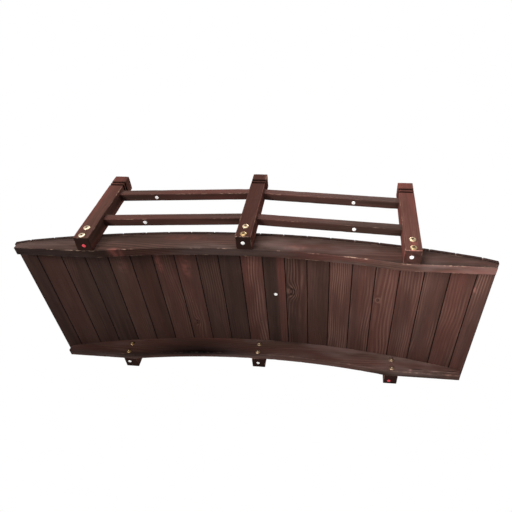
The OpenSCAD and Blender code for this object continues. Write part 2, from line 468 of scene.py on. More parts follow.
def finish_piece(name, bm, material, node=None):
    """Makes an object of a finished mesh, which rides on the bridge and may stand for a node."""
    bmesh.ops.recalc_face_normals(bm, faces=bm.faces)
    mesh = mesh_of(name, bm)
    bm.free()
    mesh.shade_smooth()
    mesh.set_sharp_from_angle(angle=SHARP_ANGLE)
    mesh.materials.append(material)
    piece = add_object(name, mesh)
    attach(piece, "root")
    if node:
        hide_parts(node)


def slice_mesh(bm, axis, places):
    """Cuts the mesh by planes across one axis."""
    normal = Vector((0.0, 0.0, 0.0))
    normal[axis] = 1.0
    for place in places:
        everything = bm.verts[:] + bm.edges[:] + bm.faces[:]
        bmesh.ops.bisect_plane(bm, geom=everything, plane_co=normal * place, plane_no=normal, dist=ON_CUT)


def even_cuts(half, margin, cell):
    """Places of even cuts between the eased edges, with a cut close to each edge."""
    inner = half - margin
    count = max(1, round(2 * inner / cell))
    return [-inner + 2 * inner * i / count for i in range(count + 1)]


def plain_block(size):
    bm = bmesh.new()
    bmesh.ops.create_cube(bm, size=1.0)
    bmesh.ops.scale(bm, vec=size, verts=bm.verts)
    return bm


def round_edges(bm, edges, clamp_overlap=False):
    bmesh.ops.bevel(bm, geom=edges, offset=settings().timber.arris, offset_type="OFFSET", segments=3,
                    profile=0.5, affect="EDGES", material=-1, clamp_overlap=clamp_overlap)


def timber_block(size):
    """A block with rounded edges, cut into cells, with X along its grain."""
    look = settings().timber
    bm = plain_block(size)
    round_edges(bm, bm.edges[:])
    for axis in range(3):
        slice_mesh(bm, axis, even_cuts(size[axis] / 2, EDGE_MARGIN * look.arris, look.cell))
    return bm


def block_edges(size):
    """Distances from a point of a block to its three pairs of faces."""
    half = Vector(size) / 2
    return lambda p: (half.x - abs(p.x), half.y - abs(p.y), half.z - abs(p.z))


def draw(rng, ranges):
    """A random number out of each range."""
    return tuple(rng.uniform(*limits) for limits in ranges)


def season(bm, seed, distances, chips=1.0, moves=(1.0, 1.0, 1.0), off_heart=0.0,
           painted_shade=lambda p: 0.0, wear=lambda p: 1.0):
    """Gives a timber its grain and marks, a slow swell of its faces and chips along its edges.

    The first of a point's distances is the one to the sawn ends. Moves tells how far the faces
    across each axis may shift, and off heart how far beside the log's heart the timber was sawn.
    Painted shade, which darkens grooves, open splits and recesses, and wear are functions of a point.
    """
    look = settings().timber
    end_depth = 0.3 * look.arris
    rng = random.Random(seed)
    layers = bm.verts.layers
    grain = layers.float_vector.new("grain")
    marks = layers.float_vector.new("marks")
    rim = layers.float.new("rim")
    along, across, deep = draw(rng, LOG_STARTS)
    start = Vector((along, across + off_heart, deep))
    shift = Vector(draw(rng, NOISE_SHIFTS))
    bm.normal_update()
    normals = {v: Vector(n * m for n, m in zip(v.normal, moves)) for v in bm.verts}
    for v in bm.verts:
        away = distances(v.co)
        edge = max(sorted(away)[1], 0.0)
        v[grain] = start + v.co
        v[rim] = edge
        v[marks] = (painted_shade(v.co), 1.0 if away[0] < end_depth else 0.0, wear(v.co))
        swell = noise.noise(v.co * SWELL_WAVES + shift) * look.swell
        bite = max(0.0, noise.noise(v.co * CHIP_WAVES + shift) - CHIPPED_FROM)
        reach = max(0.0, 1 - edge / look.chip_reach)
        v.co += normals[v] * (swell - bite * reach * look.chip_depth * chips)
    return start, rng


def inside_oval(p, along, across, half_length, half_width):
    """How far inside an oval a point is: 1 in its middle, 0 on its rim and beyond."""
    off = math.hypot((p.x - along) / half_length, (p.y - across) / half_width)
    return max(0.0, 1.0 - off * off)


def tint(bm, start, character, knot=None, marks=(), painted_light_slope=0.0):
    """Sets a timber's character, the marks on it and where its knot lies.

    The character is its tone, how red its stain is and how its grain flames, as three numbers or
    as a function of a point. The painted light slope is how much paler each metre towards its first end is
    made, as painted light.
    """
    nature = bm.verts.layers.float_vector.new("nature")
    knots = bm.verts.layers.float_vector.new("knot")
    along, across, radius = knot or NO_KNOT
    for v in bm.verts:
        tone, red, flame = character(v.co) if callable(character) else character
        # Painted light: paler towards the first end
        tone *= 1 - painted_light_slope * v.co.x
        mottle = max(0.0, MOTTLE_MEAN + noise.noise(v.co * MOTTLE_WAVES))
        for *oval, lift, redden in marks:
            strength = inside_oval(v.co, *oval) * mottle
            tone *= 1 + lift * strength
            red += redden * strength
        v[nature] = (tone, red, flame)
        v[knots] = (start.x + along, start.y + across, radius)


def move_to(bm, along, across, centre):
    """Turns a block's X and Y to two directions and puts its middle at a place."""
    turn = Matrix((along, across, along.cross(across))).transposed().to_4x4()
    bmesh.ops.transform(bm, matrix=Matrix.Translation(centre) @ turn, verts=bm.verts)


def upper_normal(node):
    """Direction in which a node's flat upper face looks."""
    upward, sideways = 0.5, 0.2
    areas = {}
    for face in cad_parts[node].data.polygons:
        if face.normal.z > upward and abs(face.normal.y) < sideways:
            key = round(face.normal.x, 3)
            area, total = areas.get(key, (0.0, Vector()))
            areas[key] = (area + face.area, total + face.normal * face.area)
    return max(areas.values(), key=lambda entry: entry[0])[1].normalized()


def extent(node, axes):
    """Middle and size of a node, measured along three directions."""
    corners = [Vector([v.co.dot(a) for a in axes]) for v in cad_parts[node].data.vertices]
    low = Vector([min(c[i] for c in corners) for i in range(3)])
    high = Vector([max(c[i] for c in corners) for i in range(3)])
    middle = (low + high) / 2
    return sum((axes[i] * middle[i] for i in range(3)), Vector()), high - low


def board_lie(node):
    """Sideways and upper direction of a board, its middle and its size along, across and up."""
    normal = upper_normal(node)
    side = normal.cross(ACROSS)
    return side, normal, *extent(node, (ACROSS, side, normal))


def rail_lie(node):
    """Lengthways and upper direction of a rail, its middle and its size along, across and up."""
    normal = upper_normal(node)
    along = ACROSS.cross(normal)
    return along, normal, *extent(node, (along, ACROSS, normal))


def arc_height(x, half, low, high):
    """Height of a circular arc with its crown at high and its ends, half away, at low."""
    rise = high - low
    radius = (half * half + rise * rise) / (2 * rise)
    return high - radius + math.sqrt(max(radius * radius - x * x, 0.0))


def ramp(value, low, high):
    """Share of the way from low to high, kept from 0 to 1."""
    return min(max((value - low) / (high - low), 0.0), 1.0)


class StringerForm:
    """Upper and lower edge of a stringer, from its node's box and the bridge's sizes."""

    # Share of the height up to which a point lies on the underside
    UNDERSIDE = 0.02
    # Middle and half length of the dark stretch low on the back one's inner face
    DARK_STRETCH_AT = -0.21
    DARK_STRETCH_REACH = 0.19

    def __init__(self, node):
        low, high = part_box(node)
        sizes = settings().sizes
        self.half = high.x
        self.crown = high.z
        self.thick = high.y - low.y
        self.middle_y = (low.y + high.y) / 2
        self.arch_half = self.half - sizes.foot_l
        self.rise = sizes.arch_rise
        self.spring = sizes.spring_h
        self.tip = sizes.tip_h
        self.seam_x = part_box(BOARDS[-1])[0].x

    def top(self, x):
        arc = arc_height(x, self.half, self.spring, self.crown)
        if abs(x) <= self.seam_x:
            return arc
        seam_z = arc_height(self.seam_x, self.half, self.spring, self.crown)
        share = (abs(x) - self.seam_x) / (self.half - self.seam_x)
        return seam_z + (self.tip - seam_z) * share

    def bottom(self, x):
        return arc_height(x, self.arch_half, 0.0, self.rise) if abs(x) < self.arch_half else 0.0

    def distances(self, p):
        to_edges = min(p.y - self.bottom(p.x), self.top(p.x) - p.y)
        return self.half - abs(p.x), to_edges, self.thick / 2 - abs(p.z)

    def place(self, p):
        """Height of a point between the lower and the upper edge, and how far right it lies, from -1 to 1."""
        return ramp(p.y, self.bottom(p.x), self.top(p.x)), p.x / self.half

    def front_wear(self, p):
        """The lower edges are rubbed more, most of all towards the right."""
        share, right = self.place(p)
        return 0.6 + (0.45 + 0.65 * right if share < 0.5 else 0.0)

    def back_wear(self, p):
        """The right half is rubbed more."""
        return 0.1 + 0.6 * max(0.0, p.x / self.half)

    def front_character(self, p):
        """Palest along the middle of its face, and on the underside of its right foot."""
        share, right = self.place(p)
        if share < self.UNDERSIDE:
            right_foot = ramp(right, 0.45, 0.6)
            return 0.82 + 0.55 * right + 0.75 * right_foot, 0.4 + 0.6 * max(right, 0.0), 0.4
        left_end = ramp(-right, 0.4, 0.8)
        tone = 0.78 + 0.42 * math.sin(math.pi * share) - 0.14 * share - 0.16 * right
        return tone * (1 - 0.42 * left_end), 0.3 * (1 - share) + 0.3 * left_end, 0.4

    def back_character(self, p):
        """Darker towards the left on the inner face and lighter near its right end, which is painted light,
        with a dark stretch low down, left of the middle.
        """
        if p.z < 0:
            return 1.15, 0.3, 0.4
        share, right = self.place(p)
        off = (p.x - self.DARK_STRETCH_AT) / self.DARK_STRETCH_REACH
        # A dark stretch low on the inner face, left of the middle
        heartwood = math.exp(-off ** 2) * (1.0 - share ** 1.2)
        right_end = ramp(right, 0.3, 0.75)
        # Painted light: the inner face is made lighter towards the right and most near its right end, as if
        # more light fell there
        tone = 0.82 + 0.4 * right + 0.5 * right_end - 0.72 * heartwood + 0.25 * share
        return tone, 0.25 + 0.25 * share, 0.35


# Operators

class MOONBRIDGE_OT_stringers(bpy.types.Operator):
    """Saw the two arched stringers that carry the deck"""
    bl_idname = "moonbridge.stringers"
    bl_label = "Stringers"

    SEEDS = {"front": 11, "back": 12}
    CHIPS = 1.5
    # Mesh rows between the lower and the upper edge
    ROWS = 14
    # Angle between two faces, in radians, from which their edge is rounded
    CORNER_ANGLE = 1.0
    # Red smear under the left foot, pale scuff right of the middle post and reddish stretch left of it
    FRONT_MARKS = (
        Mark(-0.415, 0.011, 0.035, 0.012, 1.1, 2.0),
        Mark(0.16, 0.054, 0.045, 0.018, 0.6, 0.3),
        Mark(-0.19, 0.075, 0.1, 0.03, 0.1, 0.8),
    )
    # Torn wood below the split at the right tip of the back one, and its pale fibres
    BACK_MARKS = (
        Mark(0.665, 0.004, 0.11, 0.010, -0.25, -0.3),
        Mark(0.573, 0.009, 0.008, 0.008, 1.2, 0.4),
        Mark(0.662, 0.0125, 0.036, 0.002, 1.7, -0.2),
        Mark(0.728, 0.0125, 0.034, 0.002, 1.6, -0.2),
        Mark(0.707, 0.003, 0.012, 0.004, 1.3, 0.0),
    )
    # Gaps where the split stands open, painted dark as the shade inside them: place along and above the
    # ground, half length and half height
    SPLIT_GAPS = ((0.594, 0.0165, 0.03, 0.003), (0.722, 0.0158, 0.03, 0.003))
    # Darkness of the painted shade in the gaps
    GAP_DARKNESS = 0.8
    # Where the split begins, how high it runs, and how far the torn strip below it lies back
    SPLIT_FROM = 0.57
    SPLIT_HEIGHT = 12.5 * MM
    SPLIT_DEPTH = 1.8 * MM
    # Heights of the finer mesh rows along it
    SPLIT_ROWS = [row * MM for row in (9.0, 10.5, 11.5, 12.4, 13.4, 14.5, 16.0, 18.0, 20.0)]

    def execute(self, context):
        wood = finish_of("stained_stringer", timber_nodes, ring_gap=0.0075, contrast=0.5, dusty=0.5)
        for side in SIDES:
            node = f"stringer_{side}"
            form = StringerForm(node)
            bm = self.plank(form)
            if side == "front":
                start, _ = season(bm, self.SEEDS[side], form.distances, self.CHIPS, wear=form.front_wear)
                tint(bm, start, form.front_character, marks=self.FRONT_MARKS)
            else:
                slice_mesh(bm, 1, self.SPLIT_ROWS)
                # The open split gets painted shade
                start, _ = season(bm, self.SEEDS[side], form.distances, self.CHIPS,
                                  painted_shade=self.split_gap, wear=form.back_wear)
                tint(bm, start, form.back_character, marks=self.BACK_MARKS)
                self.split_tip(bm, form)
            move_to(bm, ALONG, UP, Vector((0.0, form.middle_y, 0.0)))
            finish_piece(f"{node}_plank", bm, wood, node)
        return {"FINISHED"}

    def plank(self, form):
        """A plank sawn to the stringer's two edges, with rounded corners."""
        look = settings().timber
        bm = plain_block((2 * form.half, 1.0, form.thick))
        slice_mesh(bm, 0, even_cuts(form.half, look.arris, look.cell))
        slice_mesh(bm, 1, [i / self.ROWS - 0.5 for i in range(1, self.ROWS)])
        slice_mesh(bm, 2, even_cuts(form.thick / 2, EDGE_MARGIN * look.arris, 2 * look.cell))
        for v in bm.verts:
            share = v.co.y + 0.5
            v.co.y = form.bottom(v.co.x) * (1 - share) + form.top(v.co.x) * share
        corners = [e for e in bm.edges if e.calc_face_angle(0.0) > self.CORNER_ANGLE]
        round_edges(bm, corners, clamp_overlap=True)
        return bm

    def split_gap(self, p):
        """How dark the painted shade of the open split is at a point."""
        return self.GAP_DARKNESS * max(inside_oval(p, *gap) for gap in self.SPLIT_GAPS)

    def split_tip(self, bm, form):
        """Sets back the torn strip below the split, deeper and shallower along its length."""
        inner_face, waves = 0.4 * form.thick, 45.0
        for v in bm.verts:
            if v.co.x > self.SPLIT_FROM and v.co.y < self.SPLIT_HEIGHT and v.co.z > inner_face:
                v.co.z -= self.SPLIT_DEPTH * (0.6 + 0.7 * noise.noise(v.co * waves))


class MOONBRIDGE_OT_boards(bpy.types.Operator):
    """Lay the deck boards, each of its own tone and grain"""
    bl_idname = "moonbridge.boards"
    bl_label = "Deck boards"

    SEED = 100
    WEAR = 0.5
    # How far the faces may shift: the ends less, the edges not at all
    MOVES = (0.5, 0.0, 1.0)
    # Ranges of tone, redness and strength of the grain, in the redder batch and in the other
    REDDER = ((1.1, 1.24), (0.35, 0.6), (0.6, 1.1))
    PLAINER = ((0.73, 0.9), (0.0, 0.4), (0.0, 0.6))
    # Knots that show, as places along and across the board and a radius
    KNOTS = {
        "board_08": (0.150, 0.008, 0.006),
        "board_13": (-0.029, 0.015, 0.0095),
        "board_17": (-0.034, 0.021, 0.0045),
    }
    # Boards that stand out, as tone, redness and strength of the grain
    STANDING_OUT = {
        "board_05": (1.06, 0.2, 0.3),
        "board_07": (0.92, 0.5, 0.6),
        "board_08": (1.02, 0.5, 0.6),
        "board_11": (1.06, 0.8, 1.4),
        "board_13": (0.74, 0.3, 1.6),
    }
    # Scuffs and red smears, most of them at the front ends
    MARKS = {
        "board_05": (Mark(-0.15, 0.0, 0.05, 0.025, 0.35, 0.3),),
        "board_07": (Mark(-0.17, 0.02, 0.07, 0.014, 0.5, 1.2),),
        "board_08": (Mark(-0.16, 0.004, 0.1, 0.022, 0.6, 0.6),),
        "board_11": (Mark(-0.17, 0.0, 0.06, 0.022, 0.2, 0.2),),
        "board_21": (Mark(-0.15, 0.02, 0.013, 0.013, 0.8, 1.7),),
    }
    # Board sawn across the line between heartwood and sapwood, where that line runs, and its two natures
    HEART_BOARD = "board_12"
    HEART_LINE = -9 * MM
    HEARTWOOD = (0.84, 0.0, 0.2)
    SAPWOOD = (1.06, 0.8, 0.2)
    # Painted light: how much paler the boards are made, for each metre towards the front, as if more light
    # fell there
    PAINTED_LIGHT_SLOPE = 0.75
    # How far beside the log's heart the boards without knots were sawn, which keeps their grain straight
    OFF_HEART = 0.08

    def execute(self, context):
        look = settings().timber
        wood = finish_of("stained_board", timber_nodes, ring_gap=0.0085, contrast=0.4, even_red=0.45,
                         dusty=0.08, seam=0.95)
        for number, node in enumerate(BOARDS, start=1):
            side, normal, middle, size = board_lie(node)
            size.y += 2 * look.board_spread
            bm = timber_block(size)
            if node in (BOARDS[0], BOARDS[-1]):
                self.shape_end(bm, size, 1 if number == 1 else -1, abs(normal.x / normal.z))
            self.break_corners(bm, size)
            start, rng = season(bm, self.SEED + number, block_edges(size), moves=self.MOVES,
                                off_heart=0.0 if node in self.KNOTS else self.OFF_HEART,
                                wear=lambda p: self.WEAR)
            nature = draw(rng, self.REDDER if number >= settings().sizes.redder_from else self.PLAINER)
            nature = self.heart_side if node == self.HEART_BOARD else self.STANDING_OUT.get(node, nature)
            tint(bm, start, nature, self.KNOTS.get(node), self.MARKS.get(node, ()), self.PAINTED_LIGHT_SLOPE)
            move_to(bm, ACROSS, side, middle)
            finish_piece(f"{node}_plank", bm, wood, node)
        return {"FINISHED"}

    def heart_side(self, p):
        """Dark heartwood on the left of the board, red sapwood on its right."""
        return self.HEARTWOOD if p.y > self.HEART_LINE else self.SAPWOOD

    def break_corners(self, bm, size):
        """Takes the sharpness off the four upright corners."""
        leg = settings().timber.broken_corner
        for v in bm.verts:
            past = leg - (size.x / 2 - abs(v.co.x)) - (size.y / 2 - abs(v.co.y))
            if past > 0:
                v.co.x -= math.copysign(past / 2, v.co.x)
                v.co.y -= math.copysign(past / 2, v.co.y)

    def shape_end(self, bm, size, outer, lean):
        """Leans an end board's outer edge to stand plumb, and closes its joint to the next board."""
        look = settings().timber
        edge_from = size.y / 2 - 2 * look.arris
        for v in bm.verts:
            if v.co.y * outer > edge_from:
                v.co.y -= outer * lean * (v.co.z + size.z / 2)
            elif -v.co.y * outer > edge_from:
                v.co.y -= outer * look.end_closure


class MOONBRIDGE_OT_posts(bpy.types.Operator):
    """Stand the grooved square posts against the stringers"""
    bl_idname = "moonbridge.posts"
    bl_label = "Posts"

    SEED = 200
    # Tone and redness of the posts at each station, and the range of their grain's strength
    STAINS = {"left": (0.98, 0.8), "middle": (0.69, 1.4), "right": (1.26, 1.4)}
    FLAMES = ((0.2, 0.5),)
    # Worn outline of one post and painted light on its right side, red smear round the bolts and paler foot
    # of another
    MARKS = {
        "post_front_middle": (
            Mark(0.1805, 0.0, 0.004, 0.024, 0.5, -0.6),
            Mark(0.166, -0.021, 0.02, 0.005, 0.6, -0.6),
            Mark(0.166, 0.021, 0.02, 0.005, 0.8, -0.6),
            # Painted light: the right side of the middle post is made paler, as if lit
            Mark(0.0, 0.027, 0.35, 0.006, 1.5, 0.0),
            Mark(0.02, 0.012, 0.16, 0.01, 0.2, -0.2),
        ),
        "post_front_right": (
            Mark(-0.152, 0.0, 0.022, 0.012, 0.4, 1.2),
            Mark(-0.1845, 0.0, 0.004, 0.06, 2.6, 0.0),
        ),
    }
    # Wear above the grooves, with the post that has more of it, wear of the foot, and of the faces between
    TOP_WEAR = 1.0
    WORN_TOPS = {"post_front_middle": 1.3}
    FOOT_WEAR = 0.7
    FOOT_HEIGHT = 12 * MM
    FACE_WEAR = 0.5
    # Half width of a groove's floor, in groove widths, and slack for finding the points on it
    FLOOR = 0.34
    SLACK = 0.01 * MM
    # Reach from a groove's middle, in groove widths, and darkness of the shade painted within it: on the
    # floor and at the edges
    DARK_FLOOR = (0.36, 1.0)
    DARK_EDGE = (0.51, 0.6)

    def execute(self, context):
        wood = finish_of("stained_post", timber_nodes, ring_gap=0.0046, contrast=0.45, even_red=0.2,
                         shine=0.0)
        for index, (side, station) in enumerate(product(SIDES, STATIONS)):
            node = f"post_{side}_{station}"
            low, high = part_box(node)
            size = Vector((high.z - low.z, high.x - low.x, high.y - low.y))
            bm = timber_block(size)
            self.cut_grooves(bm, size)
            # The grooves get painted shade
            start, rng = season(bm, self.SEED + index, block_edges(size),
                                painted_shade=lambda p: self.in_groove(p, size),
                                wear=lambda p: self.wear(p, size, node))
            nature = (*self.STAINS[station], *draw(rng, self.FLAMES))
            tint(bm, start, nature, marks=self.MARKS.get(node, ()))
            move_to(bm, UP, ALONG, (low + high) / 2)
            finish_piece(f"{node}_timber", bm, wood, node)
        return {"FINISHED"}

    def wear(self, p, size, node):
        if p.x > self.groove_places(size)[0]:
            return self.WORN_TOPS.get(node, self.TOP_WEAR)
        return self.FOOT_WEAR if p.x < self.FOOT_HEIGHT - size.x / 2 else self.FACE_WEAR

    def groove_places(self, size):
        sizes = settings().sizes
        return [size.x / 2 - sizes.groove_from_top - i * sizes.groove_pitch for i in range(2)]

    def in_groove(self, p, size):
        """How dark the painted shade in a groove is at a point: most on its floor, less at its edges."""
        off = min(abs(p.x - place) for place in self.groove_places(size)) / settings().sizes.groove_w
        for reach, dark in (self.DARK_FLOOR, self.DARK_EDGE):
            if off < reach:
                return dark
        return 0.0

    def cut_grooves(self, bm, size):
        """Presses the two grooves in all round, near the top."""
        sizes = settings().sizes
        outer, inner = sizes.groove_w / 2, sizes.groove_w * self.FLOOR
        shrink = 1 - 2 * sizes.groove_d / size.y
        for place in self.groove_places(size):
            slice_mesh(bm, 0, [place + d for d in (-outer, -inner, inner, outer)])
            for v in bm.verts:
                if abs(v.co.x - place) < inner + self.SLACK:
                    v.co.y *= shrink
                    v.co.z *= shrink


class MOONBRIDGE_OT_rails(bpy.types.Operator):
    """Set the sloping rails between the posts"""
    bl_idname = "moonbridge.rails"
    bl_label = "Rails"

    SEED = 300
    WEAR = 0.3
    # Ranges of tone, redness and strength of the grain
    NATURE = ((0.84, 1.0), (0.35, 0.7), (0.2, 0.6))
    # How far the visible bar reaches into its housings
    REACH_IN = 2 * MM

    def execute(self, context):
        wood = finish_of("stained_rail", timber_nodes, ring_gap=0.0042, contrast=0.8)
        hidden = settings().sizes.housing_d - self.REACH_IN
        for index, (side, bay, level) in enumerate(product(SIDES, BAYS, LEVELS)):
            node = f"rail_{side}_{bay}_{level}"
            along, _, middle, size = rail_lie(node)
            size.x -= 2 * hidden
            bm = timber_block(size)
            start, rng = season(bm, self.SEED + index, block_edges(size), wear=lambda p: self.WEAR)
            tint(bm, start, draw(rng, self.NATURE))
            move_to(bm, along, ACROSS, middle)
            finish_piece(f"{node}_bar", bm, wood, node)
        return {"FINISHED"}


# Points of a ring, unless a form has its own number
RING_POINTS = 36
# Half angle of a cross recess's arms, and reach of its inner corners as a share of its radius
ARM_ANGLE = math.radians(16)
CROSS_WAIST = 0.42


def profile_loop(bm, radius, height, form="round", painted_shade=0.0, sides=RING_POINTS):
    """A loop of points at a height: round, with six flats, or a cross with four arms."""
    # Shade painted into recesses and where parts meet
    shade = bm.verts.layers.float.get("painted_shade") or bm.verts.layers.float.new("painted_shade")
    made = bmesh.ops.create_circle(bm, cap_ends=False, segments=sides, radius=radius)["verts"]
    part = math.radians(60 if form == "hex" else 90)
    for v in made:
        off = (math.atan2(v.co.y, v.co.x) + part / 2) % part - part / 2
        if form == "hex":
            v.co.xy *= 1 / math.cos(off)
        elif form == "cross" and abs(off) >= ARM_ANGLE:
            v.co.xy *= CROSS_WAIST
        v.co.z = height
        v[shade] = painted_shade
    return made


def turned_form(rings, sides=RING_POINTS):
    """A closed form from rings of (radius, height, form, painted shade), first and last ones filled in."""
    bm = bmesh.new()
    loops = [set(profile_loop(bm, *spec, sides=sides)) for spec in rings]
    edges = [[e for e in bm.edges if verts.issuperset(e.verts)] for verts in loops]
    for first, second in zip(edges, edges[1:]):
        bmesh.ops.bridge_loops(bm, edges=first + second)
    for end in (edges[0], edges[-1]):
        bmesh.ops.contextual_create(bm, geom=end)
    bmesh.ops.recalc_face_normals(bm, faces=bm.faces)
    return bm


def stamp(target, form, matrix):
    """Adds a copy of a form to a mesh at a place."""
    mesh = mesh_of("stamp", form)
    mesh.transform(matrix)
    target.from_mesh(mesh)
    bpy.data.meshes.remove(mesh)


def facing(direction, place, roll=0.0):
    """Matrix that turns +Z to a direction and moves to a place."""
    turn = direction.to_track_quat("Z", "Y").to_matrix().to_4x4()
    return Matrix.Translation(place) @ turn @ Matrix.Rotation(roll, 4, "Z")


def bolt_places(side, station):
    """Outward direction of a side, and the points where a post's two bolts meet its outer face."""
    low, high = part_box(f"post_{side}_{station}")
    sizes = settings().sizes
    outward, face_y = (-ACROSS, low.y) if side == "front" else (ACROSS, high.y)
    lower = low.z + sizes.lower_bolt_at
    return outward, [Vector(((low.x + high.x) / 2, face_y, z)) for z in (lower, lower + sizes.bolt_pitch)]


class MOONBRIDGE_OT_bolts(bpy.types.Operator):
    """Fit the bolt heads on the posts and the nuts on the stringers' inner faces"""
    bl_idname = "moonbridge.bolts"
    bl_label = "Bolts and nuts"

    SEED = 5
    # How far the yellow has rubbed off the lower and the upper bolt head at each station, and how much paler
    # the nuts are made at each station, which is painted light
    PALE_HEADS = {"left": (0.75, 0.7), "middle": (0.0, 0.4), "right": (0.1, 0.3)}
    NUT_PAINTED_LIGHT = {"left": 0.1, "middle": 0.45, "right": 0.5}
    # Most that a head is turned, turn of the nuts, and most that a nut is off it, in radians
    HEAD_ROLL = 1.0
    NUT_TURN = math.radians(30)
    NUT_SLACK = 0.1

    def execute(self, context):
        heads, nuts = bmesh.new(), bmesh.new()
        head, nut = self.head_form(), self.nut_form()
        rng = random.Random(self.SEED)
        for side in SIDES:
            low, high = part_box(f"stringer_{side}")
            inner_y = high.y if side == "front" else low.y
            for station in STATIONS:
                outward, places = bolt_places(side, station)
                # Painted light: nuts made paler where more light falls on them
                self.pale_for_wear_and_light(nut, self.NUT_PAINTED_LIGHT[station])
                for place, paleness in zip(places, self.PALE_HEADS[station]):
                    self.pale_for_wear_and_light(head, paleness)
                    stamp(heads, head, facing(outward, place, rng.uniform(0, self.HEAD_ROLL)))
                    inside = Vector((place.x, inner_y, place.z))
                    turn = self.NUT_TURN + rng.uniform(-self.NUT_SLACK, self.NUT_SLACK)
                    stamp(nuts, nut, facing(-outward, inside, turn))
        head.free()
        nut.free()
        finish_piece("bolt_heads", heads, finish_of("zinc_plate", zinc_nodes))
        finish_piece("bolt_nuts", nuts, finish_of("zinc_plate", zinc_nodes))
        return {"FINISHED"}

    def pale_for_wear_and_light(self, form, paleness):
        # Paleness: rubbed zinc on the bolt heads, painted light on the nuts
        pale = form.verts.layers.float.get("pale") or form.verts.layers.float.new("pale")
        for v in form.verts:
            v[pale] = paleness

    def head_form(self):
        """Low domed head with a cross recess."""
        look = settings().fittings
        r, h, s = look.head_d / 2, look.head_h, look.recess_d / 2
        dome = [(r, -0.4 * MM), (r, 0.22 * h), (0.97 * r, 0.42 * h), (0.88 * r, 0.66 * h),
                (0.74 * r, 0.84 * h), (0.55 * r, 0.96 * h), (1.3 * s, h)]
        # The cross recess is painted dark as its shade
        recess = [(s, 0.99 * h, "cross", 0.6), (0.9 * s, 0.25 * h, "cross", 1.0),
                  (0.3 * s, 0.1 * h, "round", 1.0)]
        return turned_form(dome + recess)

    def nut_form(self):
        """Washer, six-sided nut and the bolt's threaded end."""
        look = settings().fittings
        w, n, t = look.washer_d / 2, look.nut_d / 2, look.thread_d / 2
        washer = [(w, -0.4 * MM), (w, 1.0 * MM), (0.96 * w, 1.3 * MM), (1.16 * n, 1.3 * MM)]
        # Painted shade where the nut meets its washer and round the foot of the thread
        body = [(n, 1.5 * MM, "hex", 0.1), (n, 3.4 * MM, "hex"), (0.97 * n, 3.7 * MM),
                (1.1 * t, 3.7 * MM, "round", 0.6)]
        thread = [(t, 3.6 * MM, "round", 0.6), (t, 5.2 * MM), (0.8 * t, 6.0 * MM), (0.4 * t, 6.4 * MM)]
        return turned_form(washer + body + thread)


class MOONBRIDGE_OT_screws(bpy.types.Operator):
    """Drive two screws through each full board into each stringer, and one through each end board"""
    bl_idname = "moonbridge.screws"
    bl_label = "Deck screws"

    SEED = 9
    SIDES_OF_HEAD = 24
    # Places of the screws across a full and a narrow board, in board widths, and the width that parts them
    SPREAD = (-0.27, 0.27)
    NARROW_SPREAD = (0.05,)
    FULL_FROM = 0.06
    # Most that a screw is off the stringer's middle, in millimetres, and most that it is turned, in radians
    STRAY = 1.5
    ROLL = 6.0

    def execute(self, context):
        form = self.screw_form()
        screws = bmesh.new()
        rng = random.Random(self.SEED)
        lines = [sum((v.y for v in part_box(f"stringer_{side}")), 0.0) / 2 for side in SIDES]
        for node in BOARDS:
            side, normal, middle, size = board_lie(node)
            top = middle + normal * size.z / 2
            spread = self.SPREAD if size.y > self.FULL_FROM else self.NARROW_SPREAD
            for y, share in product(lines, spread):
                place = top + side * size.y * share
                place.y = y + rng.uniform(-self.STRAY, self.STRAY) * MM
                stamp(screws, form, facing(normal, place, rng.uniform(0, self.ROLL)))
        form.free()
        finish_piece("deck_screws", screws, finish_of("zinc_plate", zinc_nodes))
        return {"FINISHED"}

    def screw_form(self):
        """Flat head with a cross recess."""
        r = settings().fittings.screw_d / 2
        head = [(r, -0.5 * MM), (r, 0.1 * MM), (0.92 * r, 0.3 * MM), (0.5 * r, 0.4 * MM)]
        # The cross recess is painted dark as its shade
        recess = [(0.5 * r, 0.36 * MM, "cross", 0.7), (0.4 * r, -0.2 * MM, "cross", 1.0),
                  (0.1 * r, -0.3 * MM, "round", 1.0)]
        return turned_form(head + recess, self.SIDES_OF_HEAD)


